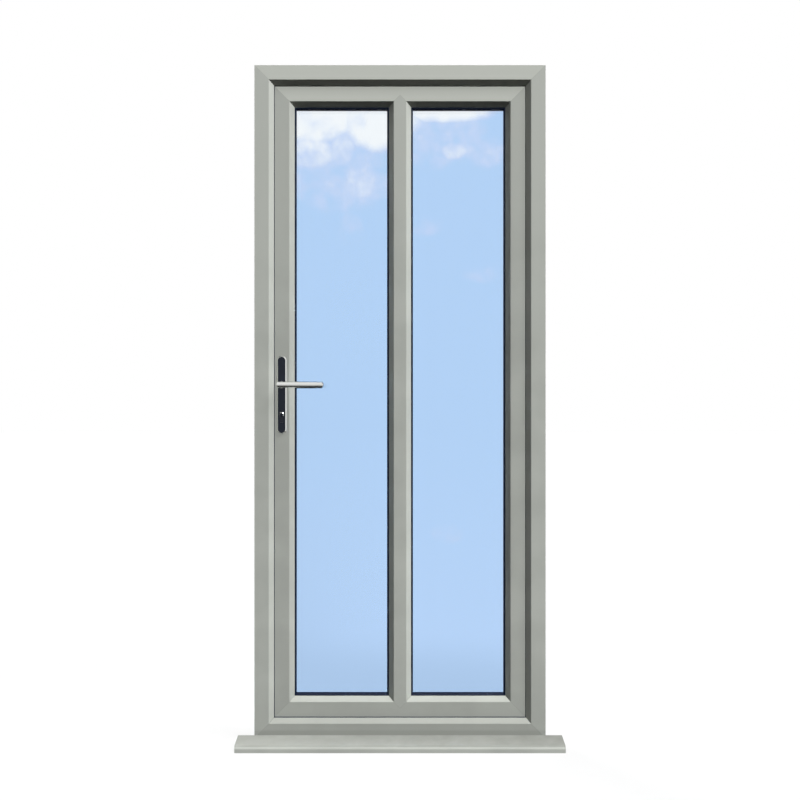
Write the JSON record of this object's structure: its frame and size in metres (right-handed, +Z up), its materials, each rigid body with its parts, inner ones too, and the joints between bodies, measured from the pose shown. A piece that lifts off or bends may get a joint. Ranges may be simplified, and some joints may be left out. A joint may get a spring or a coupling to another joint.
{
  "type": "glazed upvc door",
  "caption": "Grey uPVC door in its frame with a cill, glazed from top to bottom in tall panes either side of an upright bar, with a chrome lever handle; the leaf opens inwards.",
  "frame": {"origin": "under the middle of the cill, in the plane of the frame's exterior face", "axes": "+X to the right as seen from outside, +Y from the exterior to the interior, +Z up"},
  "size_m": [1, 0.231, 2.1],
  "materials": {
    "profile": "smooth agate grey foil",
    "cill": "smooth agate grey",
    "gasket": "matt black",
    "glass": "clear, reflecting a pale sky",
    "spacer": "warm-edge bar",
    "handle": "polished",
    "steel": "zinc plated and brushed",
    "key_cylinder": "satin nickel",
    "hinge": "grey powder coat"
  },
  "bodies": {
    "frame": {"frame_head": "profile", "frame_bottom_rail": "profile", "frame_lock_jamb": "profile", "frame_hinge_jamb": "profile", "frame_gasket": "gasket", "cill": "cill", "cill_end_caps": "cill", "latch_keep": "steel", "hook_keeps": "steel", "hinge_pins": "steel", "lower_jamb_flag": "hinge", "middle_jamb_flag": "hinge", "upper_jamb_flag": "hinge"},
    "leaf": {"sash_head": "profile", "sash_bottom_rail": "profile", "sash_lock_stile": "profile", "sash_hinge_stile": "profile", "mullion": "profile", "sash_gasket": "gasket", "left_outer_pane": "glass", "left_inner_pane": "glass", "left_spacer": "spacer", "left_outer_gasket": "gasket", "left_inner_gasket": "gasket", "left_level_beads": "profile", "left_upright_beads": "profile", "right_outer_pane": "glass", "right_inner_pane": "glass", "right_spacer": "spacer", "right_outer_gasket": "gasket", "right_inner_gasket": "gasket", "right_level_beads": "profile", "right_upright_beads": "profile", "lock_faceplate": "steel", "latch": "steel", "hooks": "steel", "key_cylinder": "key_cylinder", "outside_backplate": "handle", "inside_backplate": "handle", "lower_sash_flag": "hinge", "middle_sash_flag": "hinge", "upper_sash_flag": "hinge"},
    "handle": {"outside_lever": "handle", "inside_lever": "handle", "spindle": "steel"}
  },
  "joints": [
    {"name": "leaf_swing", "type": "hinge", "parent": "frame", "child": "leaf", "pos_m": [0.437, 0.086, 0], "axis": [0, 0, -1], "range_deg": [0, 100]},
    {"name": "lever_turn", "type": "hinge", "parent": "leaf", "child": "handle", "pos_m": [-0.367, 0, 1.112], "axis": [0, 1, 0], "range_deg": [-45, 45], "stiffness_Nm_per_rad": 5, "springref_deg": -3.44}
  ]
}
